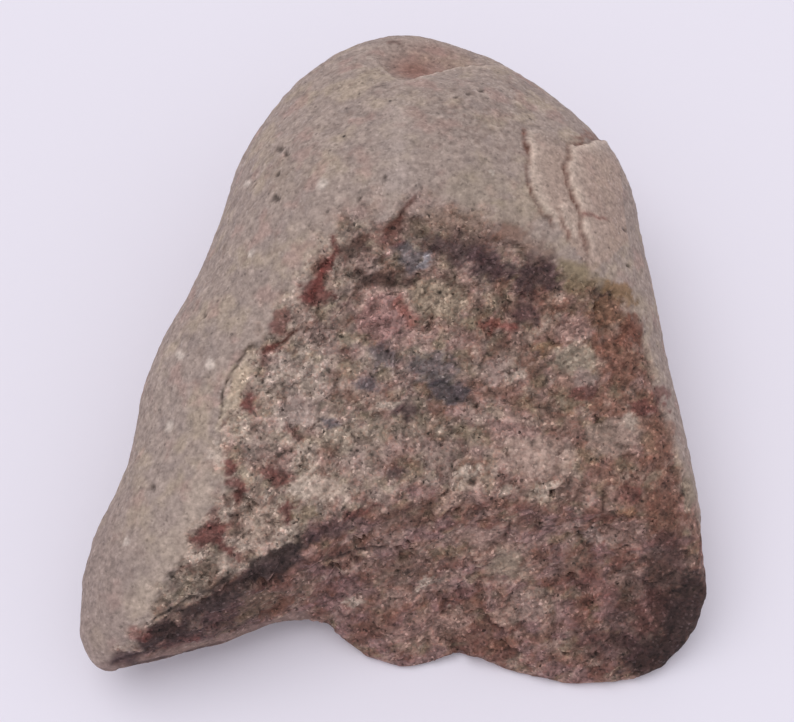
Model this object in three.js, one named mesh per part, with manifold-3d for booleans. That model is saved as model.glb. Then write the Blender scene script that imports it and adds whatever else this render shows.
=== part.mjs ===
// A river pebble: one broken, water-worn cobble of fine-grained quartzite.
// Its back and left side keep the smooth worn skin of the river stone.
// Its front is a rough break in two facets that meet on a low ridge.
// Millimetres. X runs across the stone, Y from the broken front to the worn back, Z up.
// Plan distances are laid out from the foot's front edge, then the stone is centred on its box.

import * as THREE from "three";
import { mergeVertices } from "three/addons/utils/BufferGeometryUtils.js";
import Module from "manifold-3d";

// ---- driving dimensions --------------------------------------------------------------------

const STONE_NAME = "river_pebble";
const STONE_COLOUR = 0x9a8479;
const STONE_ROUGHNESS = 0.85;

// the middle of the stone in plan, the block it is carved from and the size of the carving's facets
const PLAN_CENTRE = [0, 52];
const BLOCK_LOW = [-56, -6, -8];
const BLOCK_HIGH = [54, 116, 54];
const FACET = 2.35;
const WEAR_PASSES = 2;
const GROUND_CLEAR = 0.15;

// widest outline seen from above: across, back, and the height at which the side stands upright
const WAIST = [
  [-1, 2, 2],
  [5, 3, 2],
  [9, 4, 3],
  [14, 3, 2],
  [23, 0, 2],
  [35, -0.5, 3],
  [43, 1, 5],
  [46.5, 6, 8],
  [46.7, 13, 11],
  [46, 22, 14],
  [44, 32, 16],
  [41.5, 44, 18],
  [41, 54, 19],
  [41, 66, 20],
  [39, 78, 21],
  [34, 89, 22],
  [25, 98, 22],
  [14, 105.5, 22],
  [2, 108.5, 22],
  [-10, 105.5, 22],
  [-21, 98, 21],
  [-29, 87, 20],
  [-32.5, 74, 19],
  [-37, 63, 17],
  [-41, 54, 16],
  [-43, 45, 15],
  [-44, 36, 14],
  [-45.5, 28, 13],
  [-49, 19, 11],
  [-50, 10, 10],
  [-47.5, 3, 8],
  [-43.5, 0, 6],
  [-36, 1, 6],
  [-28, 3, 6],
  [-20, 6, 5],
  [-14, 8, 3],
  [-9, 6, 2],
  [-5, 3, 2],
];

// how full the side profile is: 2 is an ellipse, more is squarer
const SIDE_FULLNESS = 2.6;

// height of the worn skin before its sides round down: across, back, height, reach
const WORN_CROWN = [
  [2, 76, 49, 13],
  [-5, 60, 46, 9],
  [18, 57, 44, 10],
  [0, 96, 47, 12],
  [-22, 84, 43, 12],
  [28, 82, 42, 12],
  [34, 54, 40, 10],
  [41, 36, 34, 10],
  [40, 14, 28, 10],
  [-24, 44, 38, 10],
  [-31, 24, 32, 10],
  [-38, 9, 28, 9],
  [0, 20, 35, 14],
];

// height of the underside before its edges round up, below zero where the stone stands flat
const UNDERSIDE = [
  [2, 60, -2, 16],
  [10, 30, -3, 14],
  [0, 10, -5, 8],
  [26, 10, -5, 12],
  [-34, 10, 4, 10],
  [-36, 35, 3, 12],
  [-22, 9, 2.5, 6],
  [0, 95, 0, 14],
  [34, 55, -1, 14],
];

// edge of the break across the worn skin, from the wing round the dome to the right side
const BREAK_EDGE = [
  [-60, -12],
  [-42, 3],
  [-38, 7],
  [-34, 12],
  [-30, 17],
  [-26, 20],
  [-25, 24],
  [-27, 30],
  [-26, 35],
  [-24, 40],
  [-19, 46],
  [-14, 51],
  [-9, 57],
  [-4, 60],
  [3, 60],
  [11, 58],
  [18, 57],
  [25, 54],
  [34, 52],
  [38, 46],
  [41, 34],
  [45, 24],
  [60, 14],
  [60, -40],
  [-60, -40],
];

// floor of the upper facet: across, back, height, reach
const UPPER_FACET = [
  [-42, 3, 13, 5],
  [-36, 7, 18, 6],
  [-29, 10, 20.5, 6],
  [-22, 14, 22, 6],
  [-14, 17, 22.5, 6],
  [-7, 22, 23, 6],
  [4, 24, 23.5, 7],
  [16, 24, 23.5, 7],
  [30, 24, 22.5, 7],
  [44, 23, 19, 6],
  [-22, 30, 29.5, 6],
  [-10, 32, 27, 7],
  [4, 34, 27, 8],
  [18, 36, 27.5, 8],
  [32, 36, 27, 7],
  [-19, 40, 33.5, 6],
  [-8, 48, 35, 6],
  [4, 50, 35.5, 6],
  [18, 48, 34, 6],
  [30, 46, 32, 6],
];

// how high the break steps down below the worn skin: across, back, height, reach
const SCARP_RISE = [
  [0, 60, 6, 9],
  [20, 57, 6, 8],
  [-14, 51, 4, 7],
  [-26, 33, 1.5, 8],
  [-34, 12, 1, 8],
  [38, 44, 2.5, 8],
  [44, 24, 1.5, 8],
];
const SCARP_SLOPE = 1.05;

// lower facet: its top line is the ridge and its bottom line the foot, read along X
const RIDGE_LINE = [
  [-50, 0, 9],
  [-43, 3, 11],
  [-37, 6, 16],
  [-29, 9.5, 20],
  [-22, 13.5, 21.5],
  [-14, 17, 22],
  [-7, 21.5, 23],
  [4, 24, 23.5],
  [16, 24, 23.5],
  [30, 23, 22.5],
  [44, 17, 19],
  [50, 10, 18],
];
const FOOT_LINE = [
  [-50, -2, 0],
  [-43, 1, 0],
  [-37, 3, 0],
  [-29, 5.5, 0],
  [-22, 8.5, 0],
  [-14, 10.5, 0],
  [-8, 7, 0],
  [-2, 3.5, 0],
  [4, 3.5, 0],
  [9, 5, 0],
  [14, 4, 0],
  [24, 1, 0],
  [34, 1, 0],
  [42, 2, 0],
  [50, 6, 0],
];
const FACET_HOLLOW = 1.5;
const EDGE_WEAR = 2.6;

// the thumb-sized hollow on top of the dome, towards the back
const DIMPLE = { across: 3, back: 95, reachAcross: 9, reachBack: 4.5, depth: 3 };

// ---- shape ---------------------------------------------------------------------------------

const mix = (a, b, t) => a + (b - a) * t;

// a smooth surface through named spot heights, each one holding sway over its own reach
function heightFromSpots(spots, x, y) {
  let sum = 0;
  let weights = 0;
  for (const [spotX, spotY, height, reach] of spots) {
    const away = ((x - spotX) ** 2 + (y - spotY) ** 2) / (2 * reach * reach);
    const weight = Math.exp(-away) + 1e-9 / (1 + away);
    sum += weight * height;
    weights += weight;
  }
  return sum / weights;
}

// the larger of two values, with the corner between them worn round
function wornMax(a, b, wear) {
  const overlap = Math.max(wear - Math.abs(a - b), 0) / wear;
  return Math.max(a, b) + (wear * overlap * overlap) / 4;
}

// the waist outline as radius and height against direction
const waistCurve = new THREE.CatmullRomCurve3(
  WAIST.map(([x, y, z]) => new THREE.Vector3(x - PLAN_CENTRE[0], y - PLAN_CENTRE[1], z)),
  true,
  "centripetal",
);
const waistTable = waistCurve
  .getPoints(900)
  .map((p) => ({ angle: Math.atan2(p.y, p.x), radius: Math.hypot(p.x, p.y), height: p.z }))
  .sort((a, b) => a.angle - b.angle);

function waistTowards(angle) {
  let low = 0;
  let high = waistTable.length - 1;
  if (angle <= waistTable[low].angle || angle >= waistTable[high].angle) return waistTable[low];
  while (high - low > 1) {
    const middle = (low + high) >> 1;
    if (waistTable[middle].angle > angle) high = middle;
    else low = middle;
  }
  const span = waistTable[high].angle - waistTable[low].angle || 1;
  const t = (angle - waistTable[low].angle) / span;
  return {
    radius: mix(waistTable[low].radius, waistTable[high].radius, t),
    height: mix(waistTable[low].height, waistTable[high].height, t),
  };
}

// the break edge as a fine outline, and how far inside it a place is
const breakCurve = new THREE.CatmullRomCurve3(
  BREAK_EDGE.map(([x, y]) => new THREE.Vector3(x, y, 0)),
  true,
  "centripetal",
);
const breakOutline = breakCurve.getPoints(400);

function insideBreak(x, y) {
  let nearest = Infinity;
  let inside = false;
  for (let i = 0, j = breakOutline.length - 1; i < breakOutline.length; j = i, i += 1) {
    const a = breakOutline[j];
    const b = breakOutline[i];
    const runX = b.x - a.x;
    const runY = b.y - a.y;
    const length2 = runX * runX + runY * runY || 1;
    const t = Math.min(Math.max(((x - a.x) * runX + (y - a.y) * runY) / length2, 0), 1);
    nearest = Math.min(nearest, Math.hypot(x - a.x - t * runX, y - a.y - t * runY));
    const crosses = a.y > y !== b.y > y && x < (runX * (y - a.y)) / runY + a.x;
    if (crosses) inside = !inside;
  }
  return inside ? nearest : -nearest;
}

// a smooth line through points given along X, and its back distance and height at x
function smoothLine(points) {
  const curve = new THREE.CatmullRomCurve3(
    points.map(([x, y, z]) => new THREE.Vector3(x, y, z)),
    false,
    "centripetal",
  );
  return curve.getPoints(400);
}

function alongLine(line, x) {
  const after = line.findIndex((p) => p.x >= x);
  if (after <= 0) return after === 0 ? line[0] : line[line.length - 1];
  const a = line[after - 1];
  const b = line[after];
  return a.clone().lerp(b, (x - a.x) / (b.x - a.x || 1));
}

const ridgeLine = smoothLine(RIDGE_LINE);
const footLine = smoothLine(FOOT_LINE);

// below zero inside the stone, above zero outside it
function level(x, y, z) {
  const planX = x - PLAN_CENTRE[0];
  const planY = y - PLAN_CENTRE[1];
  const plan = Math.hypot(planX, planY);
  const waist = waistTowards(Math.atan2(planY, planX));
  const out = plan / waist.radius;
  const outside = (out - 1) * waist.radius;
  const rounding = Math.sqrt(Math.max(1 - out ** SIDE_FULLNESS, 0));

  const dimpleX = (x - DIMPLE.across) / DIMPLE.reachAcross;
  const dimpleY = (y - DIMPLE.back) / DIMPLE.reachBack;
  const dimple = DIMPLE.depth * Math.exp(-(dimpleX ** 2) - dimpleY ** 2);
  const worn = mix(waist.height, heightFromSpots(WORN_CROWN, x, y), rounding) - dimple;

  const rise = heightFromSpots(SCARP_RISE, x, y);
  const scarp = Math.max(rise - SCARP_SLOPE * insideBreak(x, y), 0);
  const upper = heightFromSpots(UPPER_FACET, x, y) + scarp;

  const ridge = alongLine(ridgeLine, x);
  const foot = alongLine(footLine, x);
  const climb = Math.min(Math.max(z / ridge.z, 0), 1);
  const eased = 1 - (1 - climb) ** FACET_HOLLOW;
  const wall = mix(foot.y, ridge.y, eased) + Math.max(z - ridge.z, 0) * 0.3;

  const above = wornMax(z - worn, z - upper, EDGE_WEAR);
  const inFront = wall - y;
  const under = mix(waist.height, heightFromSpots(UNDERSIDE, x, y), rounding) - z;
  return Math.max(wornMax(wornMax(above, inFront, EDGE_WEAR), under, EDGE_WEAR), outside);
}

// ---- surface -------------------------------------------------------------------------------

// the block is divided into cubes, and each cube that the surface passes through gets one corner
const cells = BLOCK_LOW.map((low, axis) => Math.ceil((BLOCK_HIGH[axis] - low) / FACET));
const gridPoint = (i, j, k) => [i, j, k].map((n, axis) => BLOCK_LOW[axis] + n * FACET);
const slot = (i, j, k) => (k * (cells[1] + 1) + j) * (cells[0] + 1) + i;

const levels = new Float64Array((cells[0] + 1) * (cells[1] + 1) * (cells[2] + 1));
for (let k = 0; k <= cells[2]; k += 1) {
  for (let j = 0; j <= cells[1]; j += 1) {
    for (let i = 0; i <= cells[0]; i += 1) {
      levels[slot(i, j, k)] = level(...gridPoint(i, j, k));
    }
  }
}

const CUBE_EDGES = [];
for (let axis = 0; axis < 3; axis += 1) {
  for (const [a, b] of [[0, 0], [1, 0], [0, 1], [1, 1]]) {
    const start = [0, 0, 0];
    start[(axis + 1) % 3] = a;
    start[(axis + 2) % 3] = b;
    const end = [...start];
    end[axis] = 1;
    CUBE_EDGES.push([start, end]);
  }
}

// the crossing of the surface on one straight run, found by halving
function crossing(from, to) {
  let [a, b] = level(...from) < 0 ? [from, to] : [to, from];
  for (let step = 0; step < 12; step += 1) {
    const middle = a.map((n, axis) => (n + b[axis]) / 2);
    if (level(...middle) < 0) a = middle;
    else b = middle;
  }
  return a.map((n, axis) => (n + b[axis]) / 2);
}

// the middle of the crossings on a cube's edges
function cornerIn(i, j, k) {
  const sum = [0, 0, 0];
  let count = 0;
  for (const [start, end] of CUBE_EDGES) {
    const a = levels[slot(i + start[0], j + start[1], k + start[2])];
    const b = levels[slot(i + end[0], j + end[1], k + end[2])];
    if (a < 0 === b < 0) continue;
    const from = gridPoint(i + start[0], j + start[1], k + start[2]);
    const to = gridPoint(i + end[0], j + end[1], k + end[2]);
    crossing(from, to).forEach((n, axis) => {
      sum[axis] += n;
    });
    count += 1;
  }
  return count ? sum.map((n) => n / count) : null;
}

const corners = [];
const cornerOf = new Map();
for (let k = 0; k < cells[2]; k += 1) {
  for (let j = 0; j < cells[1]; j += 1) {
    for (let i = 0; i < cells[0]; i += 1) {
      const corner = cornerIn(i, j, k);
      if (!corner) continue;
      cornerOf.set(slot(i, j, k), corners.length / 3);
      corners.push(...corner);
    }
  }
}

// four cubes round each crossed grid edge are joined by two triangles that face out
const faces = [];
const STEP = [1, cells[0] + 1, (cells[0] + 1) * (cells[1] + 1)];
for (let axis = 0; axis < 3; axis += 1) {
  const side = STEP[(axis + 1) % 3];
  const other = STEP[(axis + 2) % 3];
  for (let at = side + other; at + STEP[axis] < levels.length; at += 1) {
    if (levels[at] < 0 === levels[at + STEP[axis]] < 0) continue;
    const round = [at, at - side, at - side - other, at - other].map((n) => cornerOf.get(n));
    if (levels[at] >= 0) round.reverse();
    const [a, b, c, d] = round;
    faces.push(a, b, c, a, c, d);
  }
}

// river wear: each corner moves half way to the middle of its neighbours, a few times over
const neighbours = Array.from({ length: corners.length / 3 }, () => new Set());
for (let f = 0; f < faces.length; f += 3) {
  for (let side = 0; side < 3; side += 1) {
    const a = faces[f + side];
    const b = faces[f + ((side + 1) % 3)];
    neighbours[a].add(b);
    neighbours[b].add(a);
  }
}
for (let pass = 0; pass < WEAR_PASSES; pass += 1) {
  const before = [...corners];
  neighbours.forEach((around, corner) => {
    for (let axis = 0; axis < 3; axis += 1) {
      let sum = 0;
      for (const other of around) sum += before[other * 3 + axis];
      corners[corner * 3 + axis] = mix(before[corner * 3 + axis], sum / around.size, 0.5);
    }
  });
}

// corners are kept a little off the level of the ground cut
for (let at = 2; at < corners.length; at += 3) {
  if (Math.abs(corners[at]) < GROUND_CLEAR) corners[at] = Math.sign(corners[at]) * GROUND_CLEAR;
}

// ---- flat resting spot ---------------------------------------------------------------------

const wasm = await Module();
wasm.setup();

function toManifold(points, triangles) {
  const mesh = new wasm.Mesh({
    numProp: 3,
    vertProperties: new Float32Array(points),
    triVerts: new Uint32Array(triangles),
  });
  return new wasm.Manifold(mesh);
}

function toGeometry(manifold) {
  const mesh = manifold.getMesh();
  const geometry = new THREE.BufferGeometry();
  geometry.setAttribute("position", new THREE.BufferAttribute(mesh.vertProperties, 3));
  geometry.setIndex(new THREE.BufferAttribute(mesh.triVerts, 1));
  return geometry;
}

const ground = mergeVertices(new THREE.BoxGeometry(300, 300, 60).deleteAttribute("normal").deleteAttribute("uv"));
ground.translate(0, 50, -30);
const groundSolid = toManifold(ground.getAttribute("position").array, ground.index.array);
const geometry = toGeometry(toManifold(corners, faces).subtract(groundSolid));
geometry.computeBoundingBox();
const box = geometry.boundingBox;
geometry.translate(-(box.min.x + box.max.x) / 2, -(box.min.y + box.max.y) / 2, -box.min.z);
geometry.computeVertexNormals();

const material = new THREE.MeshStandardMaterial({
  color: STONE_COLOUR,
  roughness: STONE_ROUGHNESS,
  metalness: 0,
});
const pebble = new THREE.Mesh(geometry, material);
pebble.name = STONE_NAME;

const group = new THREE.Group();
group.add(pebble);

export default group;
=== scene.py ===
# %% [markdown]
# # A river pebble
# The object is one natural stone: a hand-sized cobble of reddish quartzite. A river has rubbed
# its back and left side smooth. Its front has snapped off in two rough facets, and the sugary
# grain of the rock shows there.
# The lesson takes the plain CAD stone and gives it what the real one has: grain, chips, stains,
# cracks and the fine matt skin that water leaves.

# %% Load the frame
import math

import bmesh
import bpy
import numpy as np
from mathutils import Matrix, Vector, noise


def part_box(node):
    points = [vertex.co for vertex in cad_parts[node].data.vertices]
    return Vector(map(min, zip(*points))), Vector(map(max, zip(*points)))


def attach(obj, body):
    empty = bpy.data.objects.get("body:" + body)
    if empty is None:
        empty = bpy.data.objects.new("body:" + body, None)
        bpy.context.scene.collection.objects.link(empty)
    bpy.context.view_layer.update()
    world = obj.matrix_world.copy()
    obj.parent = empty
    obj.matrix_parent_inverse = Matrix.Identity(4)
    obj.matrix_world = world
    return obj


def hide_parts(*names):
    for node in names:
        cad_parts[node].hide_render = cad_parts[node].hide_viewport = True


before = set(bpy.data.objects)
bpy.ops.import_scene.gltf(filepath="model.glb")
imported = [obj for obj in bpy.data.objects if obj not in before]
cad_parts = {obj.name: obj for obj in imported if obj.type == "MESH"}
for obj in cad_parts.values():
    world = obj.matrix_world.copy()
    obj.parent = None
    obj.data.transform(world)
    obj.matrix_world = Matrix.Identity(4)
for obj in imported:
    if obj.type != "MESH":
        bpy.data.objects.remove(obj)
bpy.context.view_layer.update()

STONE_NODE = "river_pebble"
MM = 0.001

# %% [markdown]
# ## Camera
# The stone lies on a table and is seen from the front and well above. The lens is a short
# telephoto, so the near wing looks only a little larger than the far dome.

# %% Camera
CAMERA_TILT = math.radians(62)
CAMERA_DISTANCE = 240 * MM
LOOK_AT = Vector((0.3 * MM, -4.6 * MM, 18 * MM))

camera_data = bpy.data.cameras.new("table_camera")
camera_data.lens = 68.0
camera_data.sensor_width = 36
camera_data.clip_start = 0.01
camera = bpy.data.objects.new("table_camera", camera_data)
away = Vector((0, -math.cos(CAMERA_TILT), math.sin(CAMERA_TILT)))
camera.location = LOOK_AT + away * CAMERA_DISTANCE
camera.rotation_euler = (math.pi / 2 - CAMERA_TILT, 0, 0)
bpy.context.scene.collection.objects.link(camera)
bpy.context.scene.camera = camera
print("camera at, mm:", [round(c / MM) for c in camera.location])

# %% [markdown]
# ## Table
# A plain pale sheet lies under the stone. It could be a thin box, but only its top is ever seen,
# so one flat square of a grid is enough. It is far wider than the stone, so its edge stays well
# away. Colours are shown as they are, without a film look, so the view transform is set to
# Standard. `tone` turns a colour's everyday 0 to 255 values into the linear numbers that shaders
# work in.

# %% Table
SHEET_SIZE = 3

scene = bpy.context.scene
scene.view_settings.view_transform = "Standard"

def tone(red, green, blue):
    """A colour from its everyday 0 to 255 values, as the linear numbers that shaders use."""
    shares = [c / 255 for c in (red, green, blue)]
    return [s / 12.92 if s <= 0.04045 else ((s + 0.055) / 1.055) ** 2.4 for s in shares]

table_mesh = bpy.data.meshes.new("table_sheet")
sheet = bmesh.new()
bmesh.ops.create_grid(sheet, x_segments=1, y_segments=1, size=SHEET_SIZE)
sheet.to_mesh(table_mesh)
sheet.free()
table = bpy.data.objects.new("table_sheet", table_mesh)
scene.collection.objects.link(table)
paper = bpy.data.materials.new("pale_paper")
paper.use_nodes = True
paper_shader = paper.node_tree.nodes["Principled BSDF"]
paper_shader.inputs["Base Color"].default_value = (*tone(233, 229, 240), 1)
paper_shader.inputs["Roughness"].default_value = 0.9
paper_shader.inputs["Specular IOR Level"].default_value = 0.1
table_mesh.materials.append(paper)
print("table sheet:", len(table_mesh.polygons), "face,", SHEET_SIZE, "m from middle to edge")

# %% [markdown]
# ## Light
# Most of the light is soft and comes from all round, as in a bright room. One very broad lamp
# adds a little direction from above, slightly from the left, and that is what shows the relief.
# An area lamp would leave a bright pool on the sheet. A sun lamp lights all of it evenly, and a
# wide angle keeps the sun's shadow soft.

# %% Light
world = bpy.data.worlds.new("soft_room")
scene.world = world
world.use_nodes = True
sky = world.node_tree.nodes["Background"]
sky.inputs["Color"].default_value = (0.98, 0.97, 1.0, 1)
sky.inputs["Strength"].default_value = 0.72

lamp_data = bpy.data.lights.new("broad_lamp", "SUN")
lamp_data.angle = math.radians(50)
lamp_data.energy = 1.0
lamp = bpy.data.objects.new("broad_lamp", lamp_data)
lamp.rotation_euler = Vector((0.3, -0.14, -1)).to_track_quat("-Z", "Y").to_euler()
scene.collection.objects.link(lamp)
print("lamp:", lamp_data.energy, "sky:", sky.inputs["Strength"].default_value)

# %% [markdown]
# ## A copy of the CAD stone
# The CAD stone is right in size and form, and it stays as it is, because collision uses it. The
# visual stone starts as a copy of its mesh. The CAD mesh is loose triangles, so the copy's
# doubled corners are merged into one skin first. Without that, smoothing would pull the triangles
# apart.

# %% Copy the CAD stone
DOUBLES_WITHIN = 0.001 * MM

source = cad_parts[STONE_NODE]
blank_mesh = bpy.data.meshes.new("stone_blank")
shape = bmesh.new()
shape.from_mesh(source.data)
bmesh.ops.remove_doubles(shape, verts=shape.verts, dist=DOUBLES_WITHIN)
shape.to_mesh(blank_mesh)
shape.free()
blank = bpy.data.objects.new("stone_blank", blank_mesh)
scene.collection.objects.link(blank)
print("copy:", len(blank_mesh.vertices), "corners")

# %% [markdown]
# ## The blank
# The facets of the CAD stone are over 2 mm wide, too coarse to carve. Subdividing them would keep
# their long thin triangles. A voxel remesh lays even squares over the form instead, and a
# smoothing pass, repeated, plays the part of the river and wears the facets away. Squares of just
# over half a millimetre are fine enough for real chips and steps that cast real shade, and they
# keep the whole stone under 200,000 triangles.

# %% Remesh and smooth the blank
SQUARE = 0.55 * MM
SMOOTHING_PASSES = 33

squares = blank.modifiers.new("even_squares", "REMESH")
squares.mode = "VOXEL"
squares.voxel_size = SQUARE
wear = blank.modifiers.new("river_wear", "SMOOTH")
wear.factor = 0.5
wear.iterations = SMOOTHING_PASSES

graph = bpy.context.evaluated_depsgraph_get()
stone_mesh = bpy.data.meshes.new_from_object(blank.evaluated_get(graph))
stone_mesh.name = "river_stone"
bpy.data.objects.remove(blank)
stone = bpy.data.objects.new("river_stone", stone_mesh)
scene.collection.objects.link(stone)
print("blank:", len(stone_mesh.vertices), "corners,", 2 * len(stone_mesh.polygons), "triangles")

# %% [markdown]
# ## The blank as numbers
# From here on the stone is carved with arithmetic, not with a brush. A sculpted stone would look
# as good, but nobody could read or repeat the strokes. Every corner's place and the way it faces
# are read into two tables of numbers, the places in millimetres. The carving adds up in one more
# table, the relief, which says how far each corner moves in or out.

# %% Read the blank
count = len(stone_mesh.vertices)
flat = np.empty(count * 3)
stone_mesh.vertices.foreach_get("co", flat)
place = flat.reshape(-1, 3) / MM
stone_mesh.vertices.foreach_get("normal", flat)
facing = flat.reshape(-1, 3).copy()
print("stone spans, mm:", (place.max(axis=0) - place.min(axis=0)).round(1))

# %% [markdown]
# ## Ramps and clouds
# Two small helpers serve the whole lesson. `ease` is a soft switch from 0 to 1, and most masks are
# made of it. `cloud` gives smooth random values at a chosen size in millimetres. They are always
# the same for the same seed, so the stone comes out the same each time, and they are sampled in
# space, so they have no seams.

# %% Ramps and clouds
def ease(low, high, value):
    """0 below low, 1 above high, and a smooth ramp between."""
    t = np.clip((value - low) / (high - low), 0, 1)
    return t * t * (3 - 2 * t)

def cloud(points, size, octaves, seed, stretch=(1, 1, 1)):
    """Random values of about -1 to 1 that vary over size mm, with finer octaves on top."""
    scaled = points / (size * np.array(stretch)) + np.array((seed * 7.3, seed * 3.1, seed * 5.7))
    return np.array([noise.fractal(p, 0.9, 2.0, octaves) for p in scaled])

print("ease at 0, 1/4, 1/2, 3/4, 1:", ease(0, 1, np.linspace(0, 1, 5)).round(2))

# %% [markdown]
# ## Distance from a line
# Cracks, steps and ridges are lines on the stone. To carve one, each corner has to know how far
# it is from the line, how far along the line it lies, and on which side. The line is a chain of
# straight runs, so the nearest run decides.

# %% Distance from a line
def line_distance(across, up, line):
    """Distance to a line of points, how far along it (0 to 1), and the side: left is above 0."""
    nearest = np.full(len(across), 1e9)
    along = np.zeros(len(across))
    side = np.zeros(len(across))
    steps = len(line) - 1
    for i in range(steps):
        (ax, ay), (bx, by) = line[i], line[i + 1]
        run_x, run_y = bx - ax, by - ay
        length2 = run_x * run_x + run_y * run_y
        t = np.clip(((across - ax) * run_x + (up - ay) * run_y) / length2, 0, 1)
        off_x = across - ax - t * run_x
        off_y = up - ay - t * run_y
        distance = np.hypot(off_x, off_y)
        closer = distance < nearest
        nearest = np.where(closer, distance, nearest)
        along = np.where(closer, (i + t) / steps, along)
        side = np.where(closer, run_x * off_y - run_y * off_x, side)
    return nearest, along, side

gap, along, side = line_distance(np.array([3.0]), np.array([2.0]), [(0, 0), (10, 0)])
print("a place at (3, 2) from a run along X:", gap, along, "left" if side[0] > 0 else "right")

# %% [markdown]
# ## Inside an outline
# A patch of the stone, such as the whole broken front, is a closed outline. A place is inside it
# if a line drawn from the place to one side crosses the outline an odd number of times.

# %% Inside an outline
def inside_outline(across, up, outline):
    """True where a place lies inside a closed outline."""
    inside = np.zeros(len(across), bool)
    for (ax, ay), (bx, by) in zip(outline, outline[1:] + outline[:1]):
        if ay == by:
            continue
        crosses = ((ay > up) != (by > up)) & (across < (bx - ax) * (up - ay) / (by - ay) + ax)
        inside ^= crosses
    return inside

square = [(0, 0), (2, 0), (2, 2), (0, 2)]
print("inside a square:", inside_outline(np.array([1.0, 3.0]), np.array([1.0, 1.0]), square))

# %% [markdown]
# ## The leaning board
# The marks of the broken front could be placed in X, Y and Z, but a slope is hard to lay out that
# way. They are drawn on a flat board that leans back with the break instead, at the camera's own
# tilt. Across the board is X, and up the board mixes Y and Z. Its origin is the stone's own.

# %% The leaning board
X, Y, Z = place.T
BOARD = (0, math.sin(CAMERA_TILT), math.cos(CAMERA_TILT))
UP = place @ np.array(BOARD)
print("board runs from", round(UP.min(), 1), "to", round(UP.max(), 1), "mm")

# %% [markdown]
# ## Worn skin and broken face
# A stone like this has two surfaces, and nearly every later step treats them apart. The edge of
# the break runs up from the wing, round under the dome and down the right side, and everything in
# front of it is broken. The edge could be cut with a knife shape, but a real one is ragged. So a
# small random shift is added to every place before its distance to the edge is measured.

# %% Edge of the break
BREAK_EDGE = [
    (-47, -57), (-41, -51), (-38, -48), (-34, -43), (-31, -37), (-27, -34), (-25, -30),
    (-27, -25), (-26, -19), (-24, -14), (-19, -8), (-14, -3), (-10, 2), (-4, 6), (3, 6.5),
    (11, 5), (18, 3), (25, 0), (34, -1), (38, -7), (41, -20), (45, -30), (60, -40),
]
CLOSED_FRONT = [(60, -90), (-60, -90)]

ragged = np.column_stack([cloud(place, 2.2, 3, seed) for seed in (1, 2)])
edge_x = X + 0.8 * ragged[:, 0]
edge_y = Y + 0.8 * ragged[:, 1]
edge_gap, edge_along, _ = line_distance(edge_x, edge_y, BREAK_EDGE)
broken_side = inside_outline(edge_x, edge_y, BREAK_EDGE + CLOSED_FRONT)
edge_depth = np.where(broken_side, edge_gap, -edge_gap)
print("deepest broken place, mm from the edge:", round(float(edge_depth.max()), 1))

# %% [markdown]
# ### Three masks of the break
# `topside` leaves the underside out, because the break doesn't reach it. `broken` is a sharp mask
# and steers the relief. `raw_rock` is a soft one and steers the colour: under the dome the stain
# creeps up over the worn skin in tongues, so its edge is wider and more ragged there than the
# edge of the relief.

# %% Masks of the break
topside = ease(-0.8, -0.5, facing[:, 2])
broken = ease(-0.3, 0.3, edge_depth) * topside
upper_edge = ease(0.42, 0.5, edge_along) * ease(0.78, 0.66, edge_along)
fade_in = -0.8 - 3.6 * upper_edge
stained = edge_depth + 1.3 * ragged[:, 0] + 2.0 * upper_edge * cloud(place, 3.5, 3, 6)
raw_rock = ease(0, 1, (stained - fade_in) / (1.4 - fade_in)) * topside
print("broken share of the surface:", round(float(broken.mean()), 2))

# %% [markdown]
# ## Ragged fields
# Nothing on a broken stone is straight. Three sets of random values bend whatever is drawn on it:
# `fray` bends the edges of patches, `nicks` the edges of steps, and `wander` the edges of chips.
# They are worked out once and used often, because a cloud over a hundred thousand corners takes a
# while.

# %% Ragged fields
fray = np.column_stack((cloud(place, 2.4, 4, 41), cloud(place, 2.4, 4, 42)))
nicks = np.column_stack((cloud(place, 2.4, 3, 48), cloud(place, 2.4, 3, 49)))
wander = np.column_stack([cloud(place, 3, 3, seed) for seed in (3, 4, 5)])
print("fray, nicks and wander:", fray.shape, nicks.shape, wander.shape)

# %% [markdown]
# ## Chips
# Quartzite breaks through a mass of sugary grains. At arm's length the face is a patchwork of
# small tilted facets, each left by a chip that came away. Plain noise would give soft hills. Here
# space is split into random cells and each cell gets a tilt of its own, so two neighbours meet at
# a low sharp step.

# %% Chips
def chips(points, size, seed, slope):
    """Small flat facets about size mm wide, each tilted its own way by up to slope."""
    shift = Vector((seed * 5.1, seed * 9.7, seed * 2.3))
    heights = np.empty(len(points))
    for i, point in enumerate(points):
        p = Vector(point / size) + shift
        centre = noise.voronoi(p)[1][0]
        tilt = noise.cell_vector(centre * 57.0) - Vector((0.5, 0.5, 0.5))
        heights[i] = (p - centre).dot(tilt) * size * slope * 2
    return heights

few_chips = chips(place[:50], 2.4, 13, 0.22)
print("chip heights, mm:", round(float(few_chips.min()), 2), "to", round(float(few_chips.max()), 2))

# %% [markdown]
# ## Ovals
# A plate, the raised lump and every stain is an oval on the board: a middle, two half sizes and a
# turn. The answer is 0 in its middle and 1 on its outline, so one `ease` over it makes a mask
# with a soft rim.

# %% Ovals
def oval(across, up, half_width, half_height, turn=0, shift=0.0):
    """How far each place is from an oval on the board: 0 at its middle, 1 on its outline."""
    angle = math.radians(turn)
    off_x = X - across + shift * fray[:, 0]
    off_up = UP - up + shift * fray[:, 1]
    long_way = (off_x * math.cos(angle) + off_up * math.sin(angle)) / half_width
    short_way = (off_up * math.cos(angle) - off_x * math.sin(angle)) / half_height
    return np.hypot(long_way, short_way)

print("share of the stone in a 5 mm circle:", round(float((oval(0, 0, 5, 5) < 1).mean()), 3))

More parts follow.
